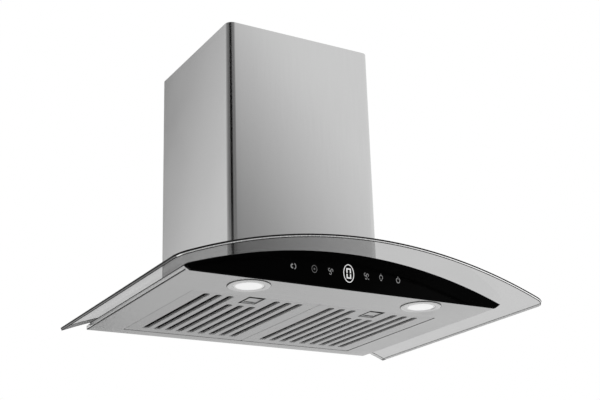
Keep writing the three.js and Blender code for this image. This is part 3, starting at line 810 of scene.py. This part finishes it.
symbol("symbol_hand_wave", -99, [
    (arc(1.1, 0, 3.2, -70, 70, 12), 1.1, False),
    (arc(-1.2, 0, 2.0, 60, 300, 12), 1.5, False),
], "symbol")
symbol("symbol_timer", -65, [
    (circle(0, 0, 4.1, 28), 0.8, True),
    (circle(0, 0, 0.7, 10), 1.1, True),
], "symbol_faint")
symbol("symbol_fan_slower", -38.7, fan_symbol(), "symbol")
symbol("display_ring", -8.7, [(oval(8.3, 12.8), 1.2, True)], "digit", 1.0)
symbol("display_digit", -8.7, digit_strokes(2.9, 6.6, 1.9, 0.7), "digit", 1.0)
symbol("symbol_fan_faster", 20.8, [*fan_symbol(), ([(3.0, -3.6), (4.4, -3.6)], 1.0, False)], "symbol")
symbol("symbol_lamp", 46, [
    (arc(0, 0.4, 2.6, -60, 240, 16), 0.8, False),
    ([(-1.3, -3.2), (1.3, -3.2)], 0.9, False),
    ([(0, 3.6), (0, 4.8)], 0.8, False),
], "symbol")
symbol("symbol_power", 75.5, [
    (arc(0, -0.4, 3.0, 125, 415, 18), 0.9, False),
    ([(0, 0.8), (0, 4.2)], 0.9, False),
], "symbol")

# ---------------------------------------------------------------- lamps

# Profiles run round each part's section, as (radius, height) pairs.
play = 0.05
lens_seat = lamp_radius["lens"] + 0.35
barrel_inside = lamp_radius["barrel"] - 1.2
trim_profile = [
    (lens_seat, -0.5),
    (lamp_radius["lens"] + 0.7, -1.1),
    (lamp_radius["lens"] + 1.4, -1.3),
    (lamp_radius["ring"] - 1.4, -1.4),
    (lamp_radius["ring"] - 0.4, -1.2),
    (lamp_radius["ring"], lamp_level["edge"]),
    (lamp_radius["ring"], lamp_level["seat"]),
    (lamp_radius["barrel"], lamp_level["seat"]),
    (lamp_radius["barrel"], lamp_level["barrel"]),
    (barrel_inside, lamp_level["barrel"]),
    (barrel_inside, lamp_level["lens"]),
    (lens_seat, lamp_level["lens"]),
]
# The seal is dark rubber round the trim ring, put where the shadow gap between trim ring and pan falls: it
# is partly a real seal and partly painted shadow.
seal_painted_shadow_profile = [
    (lamp_radius["ring"] + play, lamp_level["seat"]),
    (lamp_radius["ring"] + play, -0.6),
    (lamp_radius["ring"] + 0.25, -0.7),
    (lamp_radius["seal_painted_shadow"] - 0.15, -0.65),
    (lamp_radius["seal_painted_shadow"], lamp_level["seat"]),
]
lit_profile = [
    (0, -1.1),
    (12, -1.08),
    (lamp_radius["lit"] - 1.2, -1.05),
    (lamp_radius["lit"], lamp_level["edge"]),
    (lamp_radius["lit"], lamp_level["lens"]),
    (0, lamp_level["lens"]),
]
rim_profile = [
    (lamp_radius["lit"] + play, lamp_level["edge"]),
    (lamp_radius["lit"] + 0.6, -0.95),
    (lamp_radius["lens"] - 0.5, -0.9),
    (lamp_radius["lens"], -0.5),
    (lamp_radius["lens"], lamp_level["lens"]),
    (lamp_radius["lit"] + play, lamp_level["lens"]),
]
lamp_parts = [
    ("lamp_trim", trim_profile, "lamp_trim", "lamp_ring", "brushed_steel"),
    ("lamp_seal", seal_painted_shadow_profile, "seal_painted_shadow", None, "rubber"),
    ("lamp_glass", lit_profile, "lens", "lamp_lens", "lamp_lens"),
    ("lamp_glass_rim", rim_profile, "lens_rim", None, "lamp_lens"),
]

for side, sign in sides.items():
    place = move_to(sign * lamp["x"], lamp["y"])
    for name, profile, finish, node, slot_name in lamp_parts:
        part = moved(lathe(profile), place)
        replaced = [f"{node}_{side}"] if node else []
        piece(f"{name}_{side}", part, finishes[finish], replaced)

# ---------------------------------------------------------------- filters


def slot_front(offset):
    """The slots beside the latch end short of it."""
    beside_latch = abs(offset) < short_slot["count"] / 2 * slot["pitch"]
    return short_slot["front"] if beside_latch else slot["front"]


def baffle_face():
    """A pressed sheet: slots with turned-in lips, a latch window and a rim folded up all round."""
    f, w = filter_face, latch_window
    bm = bmesh.new()
    outline = rectangle(-f["half"], f["half"], f["front"], f["back"], f["corner"], 5)
    flat_edges = [fold(bm, outline, **filter_rim_fold)]
    for i in range(slot["count"]):
        offset = (i - (slot["count"] - 1) / 2) * slot["pitch"]
        path = hole(round_slot(offset, slot["back"], slot_front(offset), slot["width"]))
        before = set(bm.faces)
        flat_edges.append(fold(bm, path, **slot_fold))
        for face in set(bm.faces) - before:
            face.material_index = 1
    window = hole(rectangle(-w["half"], w["half"], w["front"], w["back"]))
    flat_edges.append(fold(bm, window, **window_fold))
    cap(bm, flat_edges)
    return bm


def hinge_tabs():
    t = filter_tab
    front = filter_face["back"] - t["overlap"]
    tabs = []
    for sign in sides.values():
        x = sign * t["x"]
        outline = rectangle(x - t["half"], x + t["half"], front, t["back"], t["corner"])
        tabs.append(rounded_plate([outline], t["low"], t["high"]))
    return joined(*tabs)


def grip_plate():
    """The plate that is pulled to draw the latch, with a slot for a fingertip."""
    p, g = latch_plate, latch_grip
    outline = rectangle(p["left"], p["right"], p["front"], p["back"])
    grip = hole(rectangle(g["left"], g["right"], g["front"], g["back"]))
    return rounded_plate([outline, grip], p["low"], p["high"], thin_edge)


def latch_bolt():
    t = latch_tongue
    outline = rectangle(-t["half"], t["half"], t["front"], t["back"])
    return rounded_plate([outline], t["low"], t["high"])


def coil_spring():
    """Round wire on a helix that runs from front to back."""
    s = latch_spring
    corners, steps_per_turn = 8, 16
    steps = s["turns"] * steps_per_turn
    bm = bmesh.new()
    rings = []
    for i in range(steps + 1):
        angle = 2 * math.pi * i / steps_per_turn
        along = s["front"] + (s["back"] - s["front"]) * i / steps
        ring = []
        for across, lift in circle(0, 0, s["wire"], corners):
            out = s["radius"] + across
            point = (out * math.cos(angle), along + lift, s["height"] + out * math.sin(angle))
            ring.append(bm.verts.new(point))
        rings.append(ring)
    for a, b in zip(rings, rings[1:]):
        bridge(bm, a, b)
    bm.faces.new(rings[0])
    bm.faces.new(rings[-1])
    return bm


for side, sign in sides.items():
    place = move_to(sign * filter_face["x"], 0)
    filter_body = f"filter_{side}"
    latch_body = f"filter_latch_{side}"
    spring = piece(
        f"latch_{side}_coil_spring",
        moved(coil_spring(), place),
        finishes["small_steel"],
        [f"latch_spring_{side}"],
        rides=filter_body,
    )
    plate = piece(
        f"latch_{side}_grip",
        moved(grip_plate(), place),
        finishes["filter"],
        [f"latch_plate_{side}"],
        rides=latch_body,
    )
    even_normals(plate)
    # The tongue is black plastic. Where it crosses the latch window's front gap, this also paints that
    # gap's shade dark.
    piece(
        f"latch_{side}_tongue",
        moved(latch_bolt(), place),
        finishes["black_plastic"],
        rides=latch_body,
    )
    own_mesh(spring)
    face = piece(
        f"filter_{side}_pressed_face",
        moved(baffle_face(), place),
        [finishes["filter"], finishes["slot_lip"]],
        [f"filter_face_{side}"],
        rides=filter_body,
        facing=(2, -1),
    )
    even_normals(thickened(face, filter_sheet))
    tabs = moved(hinge_tabs(), place)
    piece(f"filter_{side}_tabs", tabs, finishes["filter"], rides=filter_body)

# ---------------------------------------------------------------- chimney covers


def cover_outline(half, front, back, radius, flange):
    """A three-sided cover in plan, one sheet thick: round front corners, flanges turned in at the wall."""
    steps = cover_corner_steps
    right, corner_y, inner = half - radius, front + radius, radius - sheet
    path = [(flange - half, back - sheet), (flange - half, back), (-half, back)]
    path += arc(-right, corner_y, radius, 180, 270, steps)[:-1]
    path += line((-right, front), (right, front), arch_step)
    path += arc(right, corner_y, radius, 270, 360, steps)
    path += [(half, back), (half - flange, back)]
    path += [(half - flange, back - sheet), (half - sheet, back - sheet)]
    path += arc(right, corner_y, inner, 360, 270, steps)[:-1]
    path += line((right, front + sheet), (-right, front + sheet), arch_step)
    path += arc(-right, corner_y, inner, 270, 180, steps)
    return path + [(sheet - half, back - sheet)]


def on_glass(x, _):
    return arch_height(x) + cover_over_glass


def add_cover(name, node, outline, low, high, rides):
    plate = rounded_plate([outline], low, high, thin_edge)
    cover = piece(name, plate, finishes["chimney"], [node], rides=rides)
    even_normals(cover)


outer_outline = cover_outline(*(chimney[key] for key in ("half", "front", "back", "corner", "flange")))
cover_gap = sheet + inner_cover["clearance"]
inner_outline = cover_outline(
    chimney["half"] - cover_gap,
    chimney["front"] + cover_gap,
    inner_cover["back"],
    chimney["corner"] - cover_gap,
    inner_cover["flange"],
)
inner_low, inner_high = inner_cover["bottom"], inner_cover["top"]
add_cover("chimney_cover_lower", "chimney_lower", outer_outline, on_glass, chimney["top"], "hood_body")
add_cover("chimney_cover_upper", "chimney_upper", inner_outline, inner_low, inner_high, "inner_chimney")

# ---------------------------------------------------------------- CAD pieces that keep their shape


def softening_group():
    """Joins split corners, so that the bevel after it finds the edges."""
    tree = bpy.data.node_groups.new("join_corners", "GeometryNodeTree")
    tree.interface.new_socket("Geometry", in_out="INPUT", socket_type="NodeSocketGeometry")
    tree.interface.new_socket("Geometry", in_out="OUTPUT", socket_type="NodeSocketGeometry")
    start = tree.nodes.new("NodeGroupInput")
    end = tree.nodes.new("NodeGroupOutput")
    bare = tree.nodes.new("GeometryNodeRemoveAttribute")
    bare.inputs["Name"].default_value = "custom_normal"
    merge = tree.nodes.new("GeometryNodeMergeByDistance")
    merge.inputs["Distance"].default_value = cad_merge_distance * mm
    smooth = tree.nodes.new("GeometryNodeSetShadeSmooth")
    tree.links.new(start.outputs[0], bare.inputs["Geometry"])
    tree.links.new(bare.outputs["Geometry"], merge.inputs["Geometry"])
    tree.links.new(merge.outputs["Geometry"], smooth.inputs["Geometry"])
    tree.links.new(smooth.outputs["Geometry"], end.inputs[0])
    return tree


join_corners = softening_group()


def dress(node, finish, edge):
    """A CAD piece with rounded edges and a finish of its own."""
    obj = frame["nodes"][node]
    obj.modifiers.new("join corners", "NODES").node_group = join_corners
    bevel = obj.modifiers.new("soft edges", "BEVEL")
    bevel.width = edge * mm
    bevel.segments = 2
    bevel.limit_method = "ANGLE"
    bevel.angle_limit = math.radians(sharp_angle)
    bevel.harden_normals = True
    for material_slot in obj.material_slots:
        material_slot.material = finishes[finish]


paired_nodes = {
    "black_plastic": ["scroll_side"],
    "grey_plastic": ["impeller_blades", "impeller_ring", "lamp_module", "damper_flap"],
    # The baffles and latch guides get painted shade on the faces that look down.
    "inner_filter_painted_shade": ["filter_baffle", "latch_guide"],
}
single_nodes = {
    "galvanised": ["back_panel", "motor_box", "motor", "motor_bracket", "inlet_guard", "chimney_bracket"],
    "rubber": ["glass_gasket"],
    "board": ["touch_board"],
    "black_plastic": ["scroll_wrap", "control_box", "cable_gland", "duct_collar"],
    "grey_plastic": ["impeller_disc", "capacitor"],
    "small_steel": ["motor_shaft", "damper_pin"],
}
fine_edges = {"touch_board": 0.1}
for finish, nodes in single_nodes.items():
    for node in nodes:
        dress(node, finish, fine_edges.get(node, soft_edge))
for finish, nodes in paired_nodes.items():
    for node in nodes:
        for side in sides:
            dress(f"{node}_{side}", finish, soft_edge)

# ---------------------------------------------------------------- camera

photo_width = 600
focal_pixels = 1175.1
sensor_width = 36.0
camera_place = Vector((-876.3, -1720.3, -433.1 + underside / mm)) * mm
yaw, pitch, roll = (math.radians(angle) for angle in (30.487, 19.540, -1.740))


def add_camera():
    forward = Vector((math.sin(yaw) * math.cos(pitch), math.cos(yaw) * math.cos(pitch), math.sin(pitch)))
    right = Vector((math.cos(yaw), -math.sin(yaw), 0))
    up = right.cross(forward)
    tilted_right = right * math.cos(roll) + up * math.sin(roll)
    tilted_up = up * math.cos(roll) - right * math.sin(roll)
    data = bpy.data.cameras.new("camera")
    data.sensor_width = sensor_width
    data.lens = focal_pixels / photo_width * sensor_width
    data.clip_start = 0.05
    data.clip_end = 60
    camera = bpy.data.objects.new("camera", data)
    turn = Matrix((tilted_right, tilted_up, -forward)).transposed().to_4x4()
    camera.matrix_world = Matrix.Translation(camera_place) @ turn
    bpy.context.scene.collection.objects.link(camera)
    bpy.context.scene.camera = camera


add_camera()

# ---------------------------------------------------------------- stage and light

floor_level = -2.6
floor_solid = 6.7
floor_rim = 15.0
softbox_aim = (0, -0.2, 0)


def add_world():
    """White where the camera, metal and glass see it, and a plain level of light on everything else."""
    world = bpy.data.worlds.new("studio")
    world.use_nodes = True
    tree = world.node_tree
    tree.nodes.clear()
    mirrored = add_node(tree, "LightPath", "Is Glossy Ray")
    rays = mirrored.node.outputs
    seen = add_math(tree, "MAXIMUM", mirrored, rays["Is Transmission Ray"])
    shown = add_math(tree, "MAXIMUM", seen, rays["Is Camera Ray"])
    white = (1, 1, 1, 1)
    plain = add_node(tree, "Background", "Background", {"Color": white, "Strength": 0.65})
    bright = add_node(tree, "Background", "Background", {"Color": white, "Strength": 1.0})
    show_mix(tree, tree.nodes.new("ShaderNodeOutputWorld"), shown, plain, bright)
    bpy.context.scene.world = world


def add_plane(name, matrix, width, height, material):
    mesh = bpy.data.meshes.new(name)
    corners = [(sx * width / 2, sy * height / 2, 0) for sx, sy in ((-1, -1), (1, -1), (1, 1), (-1, 1))]
    mesh.from_pydata(corners, [], [(0, 1, 2, 3)])
    mesh.materials.append(material)
    obj = bpy.data.objects.new(name, mesh)
    obj.matrix_world = matrix
    bpy.context.scene.collection.objects.link(obj)
    return obj


def fading_floor():
    """Pale floor that thins out far from the object, so that its rim doesn't show against the white."""
    material, tree, shader = node_tree("pale_floor")
    cloud = add_noise(tree, 3, 3)
    set_inputs(tree, shader, {
        "Base Color": tinted(tree, cloud, 0.86, 0.01),
        "Roughness": 0.9,
        "Specular IOR Level": 0.1,
    })
    place = add_node(tree, "TexCoord", "Object")
    distance = add_node(tree, "VectorMath", "Value", {0: place}, operation="LENGTH")
    limits = {"Value": distance, "From Min": floor_solid, "From Max": floor_rim}
    fade = add_node(tree, "MapRange", "Result", limits, interpolation_type="SMOOTHSTEP")
    clear = add_node(tree, "BsdfTransparent", "BSDF")
    show_mix(tree, tree.nodes["Material Output"], fade, shader.outputs["BSDF"], clear)
    return material


def facing_matrix(place, target):
    """A place whose own -Z looks at a target."""
    direction = Vector(target) - Vector(place)
    return Matrix.Translation(place) @ direction.to_track_quat("-Z", "Y").to_matrix().to_4x4()


def add_softbox(name, place, size, watts):
    """A square light aimed at the middle of the hood, which nothing mirrors."""
    data = bpy.data.lights.new(name, "AREA")
    data.shape = "RECTANGLE"
    data.size = size
    data.size_y = size
    data.energy = watts
    softbox = bpy.data.objects.new(name, data)
    softbox.matrix_world = facing_matrix(place, softbox_aim)
    softbox.visible_glossy = False
    bpy.context.scene.collection.objects.link(softbox)


def ramp(tree, value, share, from_end):
    """Rises from 0 to 1 over a share of the card, from one of its ends."""
    start, stop = (1.0, 1.0 - share) if from_end else (0.0, share)
    return add_node(tree, "MapRange", "Result", {"Value": value, "From Min": start, "From Max": stop})


def product(tree, a, b):
    return add_math(tree, "MULTIPLY", a, b)


def card_material(name, darkness, fades):
    """A dark card for metal to mirror. Its sides (left, right, low, high) each fade over a share of it."""
    material, tree, shader = node_tree(name)
    tree.nodes.remove(shader)
    place = add_node(tree, "TexCoord", "Generated")
    across = add_node(tree, "SeparateXYZ", "X", {"Vector": place})
    upright = across.node.outputs["Y"]
    left, right, low, high = fades
    middle = product(tree, ramp(tree, across, left, False), ramp(tree, across, right, True))
    core = product(tree, ramp(tree, upright, low, False), ramp(tree, upright, high, True))
    cover = product(tree, product(tree, middle, core), darkness)
    clear = add_node(tree, "BsdfTransparent", "BSDF")
    dark = add_node(tree, "Emission", "Emission", {"Strength": 0})
    show_mix(tree, tree.nodes["Material Output"], cover, clear, dark)
    return material


def add_card(name, place, facing, size, darkness, fades, tilt=0):
    """A card whose face looks along a heading, in degrees from +X, turned in its own plane by a tilt."""
    heading = math.radians(facing)
    level_line = Vector((-math.sin(heading), math.cos(heading), 0))
    normal = Vector((math.cos(heading), math.sin(heading), 0))
    across = Matrix.Rotation(math.radians(tilt), 3, normal) @ level_line
    turn = Matrix((across, normal.cross(across), normal)).transposed().to_4x4()
    matrix = Matrix.Translation(place) @ to_frame @ turn
    card = add_plane(name, matrix, *size, card_material(name, darkness, fades))
    card.visible_camera = False
    card.visible_diffuse = False
    card.visible_transmission = False
    card.visible_shadow = False


add_world()
add_plane("floor", Matrix.Translation((0, 0, floor_level)), 2 * floor_rim, 2 * floor_rim, fading_floor())
add_softbox("key_light", (-1.8, -2.2, 2.2), 1.8, 60)
add_softbox("fill_light", (2.2, -2.0, 0.2), 1.6, 25)

# What the steel mirrors, with heights that count from the underside: the chimney's front sees card_front,
# its left side card_left, its rounded corner card_black and card_beside, the underside card_under, and the
# left folds of the body card_low. Each has a place, a heading, a width and height, a darkness, the shares
# over which it fades and a tilt.
add_card("card_front", (-0.224, -0.9, 0.509), 90, (1.3, 1.3), 0.75, (0.317, 0.1, 0.05, 0.2), -31.5)
add_card("card_black", (-0.95, -1.22, 0.9), 0, (1.2, 1.4), 1.0, (0.02, 0.02, 0.1, 0.15))
add_card("card_beside", (-0.96, 0.3, 0.9), 0, (1.9, 1.4), 0.79, (0.01, 0.8, 0.1, 0.15))
add_card("card_left", (-0.78, 1.727, 1.134), 0, (1.6, 2.6), 0.8, (0.431, 0.2, 0.1, 0.1), 29)
add_card("card_under", (0.85, 1.05, -0.05), -90, (2.7, 0.9), 0.42, (0.1, 0.78, 0.3, 0.15))
add_card("card_low", (-0.65, 1.0, -0.6), -90, (1.7, 1.1), 0.95, (0.1, 0.3, 0.1, 0.1))

bpy.context.scene.view_settings.view_transform = "Standard"
